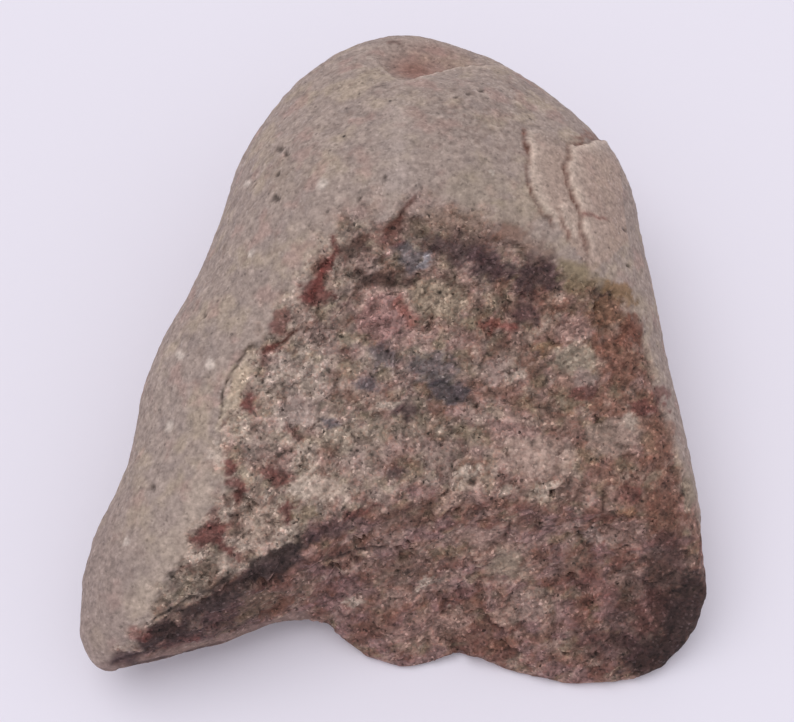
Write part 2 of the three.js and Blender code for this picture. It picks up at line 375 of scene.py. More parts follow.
# %% [markdown]
# ## Low steps
# Ledges and thin shells are the same thing: the rock stands up along a line and sinks back behind
# it. The helper gives three answers for one line. They are the rise itself, the lip along the
# edge, where a bright highlight is painted, and the dark crevice at its foot.

# %% Low steps
def step_along(line, height, fade):
    """A low step: the rock right of the line stands up by height and sinks back within fade mm.
    Also gives the lip on the line's right, for a painted highlight, and the crevice on its left."""
    gap, along, side = line_distance(X + 0.6 * nicks[:, 0], UP + 0.6 * nicks[:, 1], line)
    right = np.where(side > 0, gap, -gap)
    reach = ease(0, 0.06, along) * ease(1, 0.85, along) * topside
    rise = reach * height * ease(-0.45, 0.45, right) * np.exp(-np.maximum(right, 0) / fade)
    lip = reach * ease(-0.1, 0.5, right) * np.exp(-np.maximum(right, 0) / 1.2)
    crevice = reach * np.exp(-((right + 0.4) / 0.34) ** 2) * (0.75 + 0.6 * wander[:, 0])
    return rise - 0.2 * height * crevice, lip, crevice

trial_rise, _, _ = step_along([(-5, 0), (5, 0)], 0.5, 3)
print("a trial step rises, mm:", round(float(trial_rise.max()), 2))

# %% [markdown]
# ## Streaks and the ridge
# Two facets make the broken front. They meet on a low ridge that climbs from the wing and runs
# across to the right. Above it the face lies back, and below it the lower facet falls to the foot
# and has long low ribs that rise to the right. The ribs use a space that is turned by their
# slope, so noise can be stretched along them.

# %% Streaks and the ridge
STREAK = 24
streak_x = X * math.cos(math.radians(STREAK)) + UP * math.sin(math.radians(STREAK))
streak_y = UP * math.cos(math.radians(STREAK)) - X * math.sin(math.radians(STREAK))
along_streaks = np.column_stack((streak_x, streak_y, 0.3 * Z))
RIDGE = [(-43, -40), (-36, -34), (-30, -30.5), (-25, -27.5), (-21.6, -25.7), (-17.5, -23.7),
         (-14.5, -21.2), (-13, -19), (-9, -17.9), (-2, -15.7), (2.2, -13.5), (12, -14.5),
         (22, -16), (30, -17.5), (44, -22)]
ridge_height = np.interp(X, *zip(*RIDGE))
below_ridge = ease(0.4, -0.9, UP - ridge_height + 0.8 * ragged[:, 1])
print("share below the ridge:", round(float(below_ridge.mean()), 2))

# %% [markdown]
# ## Smooth plates and the worn rim
# Some chips came away along a flat grain and left smooth plates. The rim of the wing has been
# rubbed since it broke, so it is smoother too. Both are masks, and the chipping is turned down
# where they are.

# %% Smooth plates and the worn rim
PLATES = [(13, -22, 3, 2, 15), (16.4, -26.1, 3.2, 2.4, 10), (32.6, -6.7, 4, 2.8, 15),
          (27, 3.8, 3.6, 2.2, -20), (21, -9.5, 5, 3.6, -10), (-14, -14.2, 2.6, 2, 0),
          (-14, -2.4, 2.8, 2.2, 20), (-10.5, -14.8, 3.4, 1.7, 0), (-24.3, 0.4, 1.1, 6, -21)]
plate = np.zeros(count)
for across, up, half_width, half_height, turn in PLATES:
    reach = oval(across, up, half_width, half_height, turn, 0.8)
    plate = np.maximum(plate, ease(1.15, 0.8, reach))

WORN_RIM = [(-43.5, -41.6), (-36, -40.4), (-26, -37.8), (-15, -35)]
gap, _, _ = line_distance(X, UP, WORN_RIM)
worn_rim = ease(1.8, 0.7, gap + 0.5 * ragged[:, 0]) * topside
print("plates:", len(PLATES), "- worn rim:", int((worn_rim > 0.5).sum()), "corners")

# %% [markdown]
# ## Chipping the break
# The relief of the break is a sum of sizes, as on the real rock: slow lumps 9 mm wide, chips of
# 6.5 mm with smaller ones of 2.4 mm on them, grit of 1.1 mm, and the ribs on the lower facet. It
# grows with the distance from the edge and fades on steep sides, where a push along the surface
# would tear the outline. Last, the whole edge of the break is sunk a little, so the broken face
# lies under the worn skin.

# %% Chip the break
EDGE_SINK = 0.25
RIB_HEIGHT = 0.35
level = ease(0.0, 0.55, facing[:, 2])
rough = broken * (0.45 + 0.55 * level) * (0.6 + 0.4 * ease(0, 4, edge_depth))
rough *= (1 - 0.8 * worn_rim) * (1 - 0.5 * ease(33, 43, X))
chipping = chips(place + 1.3 * wander, 6.5, 12, 0.2) + chips(place + 0.7 * wander, 2.4, 13, 0.22)
ribs = cloud(along_streaks, 2.0, 3, 14, (4, 1, 1))
relief = rough * (0.5 * cloud(place, 9, 2, 11) + (1 - 0.5 * plate) * chipping)
grit = 0.1 * cloud(place, 1.1, 3, 15) * (1 - 0.7 * plate)
relief += rough * (grit + RIB_HEIGHT * below_ridge * ribs)
relief -= broken * EDGE_SINK * np.exp(-np.maximum(edge_depth, 0) / 3)
print("chipping from", round(relief.min(), 2), "to", round(relief.max(), 2), "mm")

# %% [markdown]
# ## The raised lump
# One lump of pinker rock, about 9 mm wide, stands proud near the top of the break. It is an oval
# with a steep upper side and a level top, and it runs out into the face below. Its rim is kept as
# a mask, for the pale edge that is painted on it later.

# %% The raised lump
LUMP_HEIGHT = 0.7
lump = oval(-1.8, 11.4, 4.6, 4.1, 0, 0.7)
relief += LUMP_HEIGHT * ease(1.08, 0.88, lump) * ease(7.5, 11, UP) * broken
lump_rim = np.exp(-((lump - 0.97) / 0.12) ** 2) * ease(10.5, 12.5, UP)
print("lump:", int((lump < 1).sum()), "corners")

# %% [markdown]
# ## Ledges
# Six low ledges cross the middle and the lower right. Each is a line on the board with its height
# and how quickly the rock sinks back behind it, all in millimetres. They are what catches the
# light first.

# %% Ledges
LEDGES = [
    ([(24.4, -8), (24, -12), (22, -15.4), (18, -15.2)], 0.5, 3),
    ([(17, -19.5), (16.4, -22.5), (13, -24.4), (9.5, -24)], 0.4, 3),
    ([(20, -24.5), (18, -28.5), (12, -29)], 0.3, 3),
    ([(13, -11.8), (11.4, -13.4), (8.4, -13.2)], 0.45, 2),
    ([(31.2, -14), (31, -16), (31, -18.4)], 0.4, 3),
    ([(9, -4.6), (15, -4.4), (21, -5.4), (25, -5)], 0.3, 3),
]
ledge_lip_highlight = np.zeros(count)
ledge_foot = np.zeros(count)
for line, height, fade in LEDGES:
    rise, lip, crevice = step_along(line, height, fade)
    relief += broken * rise
    ledge_lip_highlight = np.maximum(ledge_lip_highlight, broken * lip)
    ledge_foot = np.maximum(ledge_foot, broken * crevice)
print("ledges:", len(LEDGES), "- relief to", round(relief.max(), 2), "mm")

# %% [markdown]
# ## Swell and tooth of the worn skin
# Water leaves a surface that is smooth to the hand but not flat. It has slow swells and a very
# fine tooth. A perfectly smooth skin would look like plastic, and the tooth alone like sandpaper,
# so both are there, and both are shallow.

# %% Swell and tooth
swell = cloud(place, 15, 2, 21) * 0.3 + cloud(place, 5, 2, 23) * 0.12
tooth = cloud(place, 1.6, 3, 22) * 0.13
relief += (1 - broken) * (swell + tooth)
print("swell and tooth, mm:", round(float((swell + tooth).min()), 2), "to",
      round(float((swell + tooth).max()), 2))

# %% [markdown]
# ## Two thin shells
# On the right of the dome two thin shells of rock still stand where their neighbours peeled off.
# Their left edges are low steps with a dark crevice, and they sink back into the skin on the
# right. The peeled band between them is noted, because its colour is fresher.

# %% Two thin shells
SHELL_EDGES = [
    ([(19.9, 41.5), (20.1, 38.5), (20.1, 35.8), (20, 31), (20.7, 29.2), (21.7, 27.5), (22.9, 26.5),
      (24, 24)], 0.45, 7),
    ([(23.8, 28.2), (25, 25.6), (26.2, 22.8)], 0.2, 3),
    ([(36.5, 42.5), (33.5, 41.2), (31.3, 40), (28.9, 38.7), (27.2, 39), (27, 37.4), (26.5, 35.6),
      (26.3, 32.9), (26.6, 30.8), (27.1, 29.2), (27.6, 26.8), (27.6, 24.4), (28.8, 21.3),
      (29.6, 17.9)], 0.6, 10),
]
shell_lip_highlight = np.zeros(count)
shell_foot = np.zeros(count)
for line, height, fade in SHELL_EDGES:
    rise, lip, crevice = step_along(line, height, fade)
    relief += rise
    shell_lip_highlight = np.maximum(shell_lip_highlight, lip)
    shell_foot = np.maximum(shell_foot, crevice)
PEELED_BAND = [(20, 42), (20, 31), (24, 25), (29, 18), (37, 24), (36, 40)]
between_shells = inside_outline(X, UP, PEELED_BAND)
print("shell edges:", len(SHELL_EDGES), "- between them:", int(between_shells.sum()), "corners")

# %% [markdown]
# ## The soft ridge down the dome
# A barely raised ridge runs down the middle of the dome. It is a bell curve across its line, a
# few millimetres wide, and it shows mostly as a slightly paler band: a highlight painted later.

# %% Soft ridge down the dome
SOFT_RIDGE_HEIGHT = 0.3
MIDDLE_RIDGE = [(-0.3, 47), (-0.2, 39), (0.1, 32), (-1, 27)]
gap, along, _ = line_distance(X, UP, MIDDLE_RIDGE)
middle_ridge = np.exp(-(gap / 2.2) ** 2) * ease(0, 0.2, along) * (1 - broken) * topside
relief += SOFT_RIDGE_HEIGHT * middle_ridge
print("soft ridge, mm:", SOFT_RIDGE_HEIGHT)

# %% [markdown]
# ## The dimple
# Near the top a shallow dimple is sunk behind a crisp curved lip, where a flake once came out. A
# dent from a ball would be round and soft all over. This one is sharp in front, along the lip's
# own line, and runs out gently behind, so it is made of a lip line and a turned oval.

# %% The dimple
DIMPLE_DEPTH = 0.9
DIMPLE_LIP = [(-5.5, 54.2), (-3.5, 52.6), (-1.5, 50.6), (0.6, 48.7), (3.7, 50.2), (7.1, 52.2),
              (12, 53.3), (17.5, 53.8)]
lip_height = np.interp(X, *zip(*DIMPLE_LIP)) + 0.4 * ragged[:, 1]
behind_lip = UP - lip_height
dimple_reach = np.hypot((X - 5.5 + 0.45 * (Y - 41)) / 12.5, (Y - 41 - 0.35 * (X - 5.5)) / 7.5)
dimple = ease(-0.1, 0.5, behind_lip) * ease(1.15, 0.5, dimple_reach) * topside
relief -= DIMPLE_DEPTH * dimple
lip = np.exp(-((behind_lip + 0.25) / 0.4) ** 2) * ease(1.2, 0.9, dimple_reach) * topside
print("dimple:", int((dimple > 0.5).sum()), "corners,", DIMPLE_DEPTH, "mm deep")

# %% [markdown]
# ## Pits
# Some two dozen small pits dot both surfaces, each where a softer grain washed out. Each is a
# middle and a radius on the board.

# %% Pits
PIT_DEPTH = 0.35
PITS = [(-18.5, 38, 0.6), (-17.4, 37, 0.5), (-18.5, 33.7, 0.5), (-18.8, 29.5, 0.7),
        (-2.1, 31.9, 0.4), (-5.8, 28.9, 0.4), (11, 47, 0.35), (13.2, 47.6, 0.45), (9, 46.2, 0.3),
        (36.2, 19.8, 0.4), (36.3, 25.8, 0.4), (-36, -14, 0.4), (-30, 12, 0.35), (8, 38, 0.35),
        (-33.3, -26.9, 0.6), (-28, -25.6, 0.5), (11.3, -13.4, 0.55), (22.5, -2.6, 0.5),
        (25.1, 4.3, 0.35), (20.2, -7.7, 0.4), (27.1, -22, 0.5), (-14.6, -21.6, 0.45),
        (7.5, 16.2, 0.4), (-7, 20.5, 0.4), (29.5, 12.5, 0.35), (14, 5.5, 0.4), (34, 0.5, 0.4)]
pits = np.zeros(count)
for across, up, radius in PITS:
    reach = np.hypot(X - across + 0.4 * ragged[:, 0], UP - up + 0.4 * ragged[:, 1]) / radius
    pits = np.maximum(pits, ease(1.3, 0.5, reach) * topside)
relief -= PIT_DEPTH * pits
print("pits:", len(PITS))

# %% [markdown]
# ## Cracks
# Hairline cracks cross the stone, most of them in the break or close to its edge. Each has a
# line, a width, a depth and the colour of what has filled it. A crack narrows towards its end, so
# its width shrinks along the line. The masks are kept for the paint.

# %% Cracks
CRACKS = [
    ([(-1.6, 24.2), (0.3, 25.8), (0.9, 27.4), (2.4, 29.2)], 0.6, 0.25, (104, 68, 60)),
    ([(-13, 14.2), (-11.6, 17.3), (-10.6, 18.8), (-9.1, 20.8), (-9.7, 23.2)], 0.9, 0.35,
     (106, 56, 52)),
    ([(-19.8, 6.2), (-17.2, 7.3), (-14.8, 8.9)], 0.5, 0.4, (106, 60, 54)),
    ([(-21.6, 7), (-22.6, 6.3), (-24, 3.9), (-25.1, 2.2), (-25.9, 0), (-26.5, -4.5)], 0.3, 0.3,
     (80, 64, 54)),
    ([(28, 26.9), (30.5, 27), (33.5, 26.7)], 0.35, 0.1, (150, 108, 98)),
    ([(-24.5, -26.8), (-28, -29), (-30.9, -30.4), (-36, -33.6)], 0.5, 0.2, (58, 44, 42)),
    ([(-1.5, -23.2), (-7.1, -24.4), (-12.6, -25.6)], 0.3, 0.3, (70, 52, 50)),
    ([(-6, -25.8), (-5.8, -27.4)], 0.25, 0.3, (60, 48, 48)),
    ([(30.8, -14.2), (30.7, -18)], 0.25, 0.3, (70, 48, 44)),
    ([(16.7, -19.6), (16.5, -22.6)], 0.2, 0.3, (70, 52, 46)),
    ([(37.6, -32.2), (38.4, -34), (39.2, -36)], 0.3, 0.05, (146, 112, 108)),
    ([(24.3, -8), (24.3, -10.4)], 0.2, 0.3, (84, 60, 56)),
    ([(-42.5, -40.4), (-38, -39), (-34, -38)], 0.35, 0.12, (66, 48, 50)),
    ([(-40, -41.4), (-33, -40.2), (-26, -38)], 0.4, 0.15, (74, 56, 56)),
    ([(-1.4, 56.3), (0.6, 56.4)], 0.28, 0.05, (104, 80, 74)),
]
crack_masks = []
for line, width, depth, colour in CRACKS:
    gap, along, _ = line_distance(X + 0.35 * ragged[:, 0], UP + 0.35 * ragged[:, 1], line)
    cut = np.exp(-(gap / (width * (1.2 - 0.8 * along))) ** 2) * topside
    relief -= depth * cut
    crack_masks.append(cut)
print("cracks:", len(CRACKS))

# %% [markdown]
# ## Trim the outline
# A few soft pushes in or out bring the outline to that of the real stone, like thumbs in clay.
# Each has a name, a spot, a reach and a push in millimetres. The carved relief fades out near the
# table first, so the flat resting spot stays flat.

# %% Trim the outline
TRIMS = [
    ("dome, back left", (-10, 45, 32), 11, 1.8), ("dome, top", (1, 49, 31), 8, 1.0),
    ("left flank", (-30, 8, 24), 13, -1.4),
    ("right flank", (39, 14, 24), 12, -1.9), ("wing, outer side", (-45, -32, 9), 10, 1.6),
    ("wing, near side", (-24, -42, 6), 9, 0.4), ("near foot", (22, -48, 6), 10, 0.8),
    ("foot, left end", (-6, -46, 3), 6, 1.0), ("foot, notch", (7, -48, 3), 4.5, -1.3),
    ("wing tip", (-47, -49, 9), 4.5, 1.0), ("dome, right shoulder", (36, 32, 29), 7, -0.8),
    ("dome, left", (-27, 27, 26), 8, -0.6), ("left flank, low", (-42, -22, 16), 7, -0.2),
    ("foot, right corner", (46, -34, 13), 6, -0.7),
    ("left flank, middle", (-38, -3, 18), 7, -0.6), ("right flank, low", (44, -13, 15), 9, 1.0),
]
relief *= ease(0.2, 2.0, Z)
for _, spot, reach, push in TRIMS:
    from_spot = np.linalg.norm(place - np.array(spot), axis=1)
    relief += push * np.exp(-((from_spot / reach) ** 2))
print("trims:", " / ".join(name for name, *_ in TRIMS))

# %% [markdown]
# ## Fit to the box
# The relief is applied: every corner moves along the way it faces. Then the surface is fitted
# back into the CAD stone's own box, a hair smaller, so that what is seen never stands outside
# what collides. Nothing may sink under the table either.

# %% Fit to the box
FIT = 0.999
carved = place + facing * relief[:, None]
low, high = [np.array(corner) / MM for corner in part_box(STONE_NODE)]
carved_low, carved_high = carved.min(axis=0), carved.max(axis=0)
scale = (high - low) * FIT / (carved_high - carved_low)
scale[2] = high[2] * FIT / carved_high[2]
centre = (carved_low + carved_high) / 2
centre[2] = 0
carved = (carved - centre) * scale
carved[:, 2] = np.maximum(carved[:, 2], 0)
stone_mesh.vertices.foreach_set("co", (carved * MM).ravel())
stone_mesh.polygons.foreach_set("use_smooth", np.ones(len(stone_mesh.polygons), bool))
stone_mesh.update()
print("fitted by", scale.round(3))

# %% [markdown]
# ## Neighbours
# Here the little hollows get painted shade and the little edges a painted highlight.
# How hollow a place is can be measured from the mesh alone: it is how far the mean of its
# neighbours stands out above it. This cell counts the neighbours and gives their mean.

# %% Neighbours
edges = np.empty(len(stone_mesh.edges) * 2, int)
stone_mesh.edges.foreach_get("vertices", edges)
one, other = edges.reshape(-1, 2).T
neighbours = np.bincount(edges, minlength=count)

def neighbour_mean(values):
    """The mean of each vertex's neighbours, column by column."""
    columns = [
        np.bincount(one, values[:, i][other], count) + np.bincount(other, values[:, i][one], count)
        for i in range(values.shape[1])
    ]
    return np.column_stack(columns) / neighbours[:, None]

print("edges:", len(stone_mesh.edges), "- most neighbours:", int(neighbours.max()))

# %% [markdown]
# ## Hollows and edges
# One round of neighbours finds the hollows between grains. More rounds reach further and find
# those between chips. Each is scaled by a usual depth in millimetres, to run from -1 on an edge
# to 1 in a hollow, and the painted shade and highlight use their mean.

# %% Hollows and edges
WIDE_ROUNDS = 5
FINE_DEPTH, WIDE_DEPTH = 0.06, 0.22
near_mean = neighbour_mean(carved)
wide_mean = near_mean
for _ in range(WIDE_ROUNDS):
    wide_mean = neighbour_mean(wide_mean)
fine_hollow = ((near_mean - carved) * facing).sum(axis=1)
wide_hollow = ((wide_mean - carved) * facing).sum(axis=1)
fine_share = np.clip(fine_hollow / FINE_DEPTH, -1, 1)
wide_share = np.clip(wide_hollow / WIDE_DEPTH, -1, 1)
hollow = fine_share * 0.5 + wide_share * 0.5
print("hollow from", hollow.min().round(2), "to", hollow.max().round(2))

# %% [markdown]
# ## Painting aids
# The paint is kept on the corners of the mesh, so it follows the stone however it is turned or
# scaled, and it needs no picture file. `washed` lays a colour over what is there, as strongly as
# a mask says. `veil` does so through a cloud, which gives the drifting tints of a natural
# surface.

# %% Painting aids
def washed(base, colour, mask):
    """base with a colour laid over it where mask is 1."""
    return base + (np.array(tone(*colour)) - base) * np.clip(mask, 0, 1)[:, None]

def veil(base, colour, size, seed, low, high, strength):
    """base with a cloudy veil of a colour: size is the clouds' width in mm."""
    return washed(base, colour, strength * ease(low, high, cloud(place, size, 4, seed)))

print("mid grey as a shader number:", round(tone(128, 128, 128)[0], 3))

# %% [markdown]
# ## Colour of the worn skin
# The skin is a greyed tan. Five veils drift through it, warm and cool, from 6 mm clouds down to
# specks of under 2 mm, and the end of the wing is a little darker. One flat tan would look like
# clay.

# %% Colour of the worn skin
SKIN = (155, 138, 130)
skin = np.tile(tone(*SKIN), (count, 1))
skin = veil(skin, (170, 152, 134), 6, 31, 0.0, 0.6, 0.6)
skin = veil(skin, (142, 127, 122), 3.5, 32, 0.0, 0.7, 0.6)
skin = veil(skin, (176, 158, 148), 2, 36, 0.2, 0.6, 0.5)
skin = veil(skin, (126, 108, 100), 1.6, 37, 0.3, 0.7, 0.5)
skin = veil(skin, (164, 134, 126), 4.2, 38, 0.2, 0.7, 0.5)
skin = washed(skin, (144, 126, 120), 0.55 * ease(-36, -44, X) * ease(-20, -34, Y))
print("skin:", SKIN)

# %% [markdown]
# ## Colour of the shells and the dimple
# Each mark carved in the skin gets its colour. The soft ridge and the shells' lips get a pale
# painted highlight, the dimple's lip is pale, crevices are red brown, the peeled band between the
# shells is fresher, and the dimple holds a brown stain, with painted shade deepest behind its lip.
# Below the dimple the skin peels in small dark flecks.

# %% Colour of the shells and the dimple
# painted highlight along the soft ridge down the dome
skin = washed(skin, (172, 156, 150), middle_ridge * 0.5)
skin = washed(skin, (170, 145, 132), between_shells * topside * 0.6 * ease(41.5, 36, UP))
# painted highlight along the lips of the shells
skin = washed(skin, (204, 186, 172), shell_lip_highlight * 0.75)
skin = washed(skin, (112, 72, 60), shell_foot * 0.85)
skin = washed(skin, (150, 112, 102), dimple * 0.4 * np.exp(-(((X - 6) / 7) ** 2)))
# the dark core behind the lip is part brown stain and part painted shade
dimple_stain_and_shade = np.exp(-(((X - 2.4) / 3.8) ** 2) - ((UP - 52.4) / 2.2) ** 2)
skin = washed(skin, (134, 92, 80), 0.75 * dimple * dimple_stain_and_shade)
peel = np.exp(-(((X - 11) / 8) ** 2) - ((UP - 43) / 6) ** 2)
flecks = ease(0.12, 0.45, cloud(place, 1.1, 3, 24))
skin = washed(skin, (122, 102, 94), 0.7 * peel * flecks * topside)
skin = washed(skin, (184, 164, 152), lip * 0.6 * ease(-3, 1, X))
print("flecked corners:", int((peel * flecks > 0.5).sum()))

# %% [markdown]
# ## Pale crystals
# A few quartz crystals, under 2 mm wide, show as pale dots in the skin. There are few enough to
# list one by one.

# %% Pale crystals
PALE_CRYSTALS = [(-11.2, 31.4, 0.9), (-22.5, 21.3, 0.8), (-34.6, -4.9, 0.9), (-33.6, 5.7, 0.7),
                 (-28, 4.2, 0.9), (-24, 33, 0.6), (14, 33, 0.5), (-40, -22, 0.6)]
for across, up, radius in PALE_CRYSTALS:
    reach = np.hypot(X - across + 0.5 * ragged[:, 0], UP - up + 0.5 * ragged[:, 1]) / radius
    skin = washed(skin, (205, 190, 180), ease(1.2, 0.4, reach) * 0.8)
print("pale crystals:", len(PALE_CRYSTALS))

# %% [markdown]
# ## The palette of the broken face
# The fresh rock is stained by iron and other minerals. A few named colours are mixed first, as on
# a painter's board, and used again and again. That keeps the face in one family of hues, however
# many stains it has.

# %% Palette
OLIVE, GREY, PINK = (138, 123, 110), (148, 129, 125), (170, 139, 135)
CREAM, BEIGE, OCHRE = (188, 172, 162), (174, 156, 144), (128, 100, 72)
MAROON, RUST, BROWN = (104, 63, 60), (120, 84, 72), (106, 83, 74)
PURPLE, BLUE, PALE_BLUE = (77, 58, 61), (101, 94, 101), (150, 150, 160)
SLATE, UMBER = (62, 49, 49), (70, 52, 48)
print("darkest:", SLATE, "palest:", CREAM)

# %% [markdown]
# ## Ground colour of the break
# The ground is olive grey above the ridge, paler to the left and rustier to the right, and red
# brown below it. Veils of the palette's colours break it up at several sizes, so no two square
# centimetres are alike.

# %% Ground colour of the break
rock = np.tile(tone(*OLIVE), (count, 1))
rock = veil(rock, GREY, 6, 51, -0.3, 0.3, 0.8)
rock = veil(rock, PINK, 4, 52, -0.1, 0.4, 0.5)
rock = washed(rock, (177, 161, 151), 0.75 * ease(0, -18, X + 4 * wander[:, 1]))
rock = washed(rock, RUST, 0.65 * ease(2, 34, X + 4 * wander[:, 0]))
rock = washed(rock, (126, 95, 86), 0.85 * below_ridge)
rock = veil(rock, RUST, 3.4, 43, 0.05, 0.45, 0.6)
rock = veil(rock, CREAM, 2.6, 44, 0.2, 0.6, 0.4)
rock = veil(rock, SLATE, 2, 45, 0.2, 0.7, 0.5)
rock = veil(rock, PINK, 2.3, 46, 0.2, 0.6, 0.5)
rock = veil(rock, (98, 70, 62), 2.8, 50, 0.15, 0.5, 0.5)
rock = veil(rock, (143, 130, 108), 3, 54, 0.1, 0.5, 0.4)
print("mean ground colour:", rock.mean(axis=0).round(3))

# %% [markdown]
# ## Streaks of the lower facet
# On the lower facet the colour follows the ribs: dark where the rock stands up, pale in the
# troughs. The same rib values that carved the relief drive the paint, so the two always agree.
# Then the rock's colour replaces the skin's wherever the stone is broken.

# %% Streaks of the lower facet
streaky = washed(rock, (104, 70, 64), 0.7 * ease(0.05, 0.4, ribs))
streaky = washed(streaky, (160, 134, 128), 0.6 * ease(-0.1, -0.4, ribs))
streaky = veil(streaky, (134, 106, 108), 4, 53, 0.0, 0.4, 0.6)
rock += (streaky - rock) * below_ridge[:, None]
paint = skin + (rock - skin) * raw_rock[:, None]

print("raw rock on", round(float((raw_rock > 0.5).mean()), 2), "of the surface")

# %% [markdown]
# ## How a stain is laid
# The stains of the break are ovals with frayed edges, each given as a colour, a place on the
# board, two half sizes, a turn in degrees and a strength. A painted picture could hold them too,
# but then the stone would need a file and an unwrapped skin. Here each patch is one short line
# that can be read and moved.

# %% How a stain is laid
STAIN_FRAY = 1.2
speckled = 0.35 * cloud(place, 1.0, 2, 47)

def stain(base, spots):
    """base with frayed ovals of colour laid over it, one after the other."""
    for colour, across, up, half_width, half_height, turn, strength in spots:
        reach = oval(across, up, half_width, half_height, turn, STAIN_FRAY) + speckled
        base = washed(base, colour, strength * ease(1.25, 0.75, reach) * topside)
    return base

print("specks at a stain's edge:", round(float(speckled.min()), 2), "to",
      round(float(speckled.max()), 2))

# %% [markdown]
# ### Dark mineral under the dome
# The darkest stains on the upper face lie just under the edge of the dome: purple and umber, with
# one blue-grey spot that has a pale gleam in it.

# %% Dark mineral under the dome
DARK_MINERAL = [
    (PURPLE, 9, 21.3, 5, 2, -12, 0.75), (PURPLE, 13.6, 19, 3.5, 2.2, -20, 0.85),
    (PURPLE, 20.5, 17.2, 3.6, 3, -10, 0.9), (UMBER, 21, 16.5, 1.8, 1.6, 0, 0.5),
    (PURPLE, 19.6, 11.9, 2.2, 1.8, 0, 0.7), (UMBER, -2, 16.8, 4.6, 1.3, 4, 0.8),
    (UMBER, -6.5, 21.3, 2.4, 1.2, 30, 0.6), (BLUE, 1.7, 20.7, 2.4, 1.8, -30, 0.8),
    (PALE_BLUE, 3.9, 19.5, 0.8, 0.6, 0, 0.6), (PURPLE, 5.5, 22, 2.6, 1.5, 0, 0.5),
    (BROWN, 3, 25, 5, 1.6, 0, 0.4), (BROWN, 12, 24, 6, 1.8, -5, 0.45),
    ((92, 70, 66), 20.5, 20.8, 3.6, 1.6, -15, 0.6), ((104, 84, 78), 13, 22.8, 5, 1.4, -8, 0.45),
    (RUST, 16.7, 23.7, 2.2, 1, 0, 0.6), (UMBER, 1, 18.2, 2, 0.8, -20, 0.5),
]
paint = stain(paint, DARK_MINERAL)
print("dark mineral under the dome:", len(DARK_MINERAL), "stains")

# %% [markdown]
# ### Maroon down the left edge
# Iron has seeped in along the edge of the break and left a chain of maroon spots down its left
# side. They are small, and many are narrow and turned to follow the edge.

# %% Maroon down the left edge
MAROON_SPOTS = [
    (MAROON, -1.8, 22.8, 2.4, 1.5, 0, 0.65), ((96, 62, 56), -0.6, 24.9, 1.2, 0.8, 45, 0.6),
    ((92, 66, 58), -6.2, 22.4, 2, 0.8, 20, 0.6), (MAROON, -12.6, 14.6, 2, 2.2, -20, 0.85),
    (MAROON, -11, 18, 0.9, 2.6, -25, 0.8), (MAROON, -17.3, 11, 2.2, 0.9, 45, 0.75),
    (MAROON, -18.2, 6.2, 1.4, 1, 30, 0.75), (MAROON, -19.4, 4.5, 1.3, 1.2, 0, 0.7),
    (MAROON, -22, -2.1, 1.7, 1.5, 20, 0.9), (MAROON, -15.8, -5.4, 0.9, 2, 40, 0.7),
    (MAROON, -25.2, -10.5, 0.8, 1.6, 30, 0.85), (MAROON, -23.5, -14, 0.8, 2.2, 10, 0.85),
    (MAROON, -17.9, -12.3, 2.2, 1.7, 0, 0.85), (MAROON, -16.3, -17.8, 1.2, 2.2, 15, 0.9),
    (MAROON, -27.5, -20.8, 2.8, 1.9, 30, 0.9), (MAROON, -25, -23, 2.2, 1, -25, 0.9),
    (MAROON, -27, -18.4, 1.2, 2, 0, 0.6), (MAROON, -30.6, -25.7, 1.2, 0.8, 0, 0.7),
    (MAROON, -8.2, -11.5, 0.8, 1.2, 30, 0.7), (MAROON, -9.3, -9.7, 1.5, 0.5, -30, 0.6),
    ((92, 64, 64), 18.9, 12.2, 2.6, 2.2, 0, 0.55), (MAROON, -8.3, 6, 1.2, 0.9, 0, 0.6),
    (MAROON, -9.5, 2.8, 1.2, 0.8, 0, 0.5),
]
paint = stain(paint, MAROON_SPOTS)
print("maroon down the left edge:", len(MAROON_SPOTS), "stains")

# %% [markdown]
# ### The pink lump and its red side
# The raised lump is pinker than the rock round it, and its right side is red brown.

# %% The pink lump and its red side
LUMP_COLOURS = [
    ((152, 118, 117), -2, 11.4, 4.3, 4, 0, 0.8), (PINK, 2.9, 8.6, 2.8, 2, -30, 0.6),
    ((138, 88, 80), 1.2, 12.3, 1.9, 1.3, -35, 0.7),
]
paint = stain(paint, LUMP_COLOURS)
print("pink lump and its red side:", len(LUMP_COLOURS), "stains")

# %% [markdown]
# ### Pale quartz
# Cream, grey and beige patches are the cleaner quartz. They mark the smooth plates, the band just
# inside the left edge, and the ground above the ridge. Some olive and brown ones break them up.

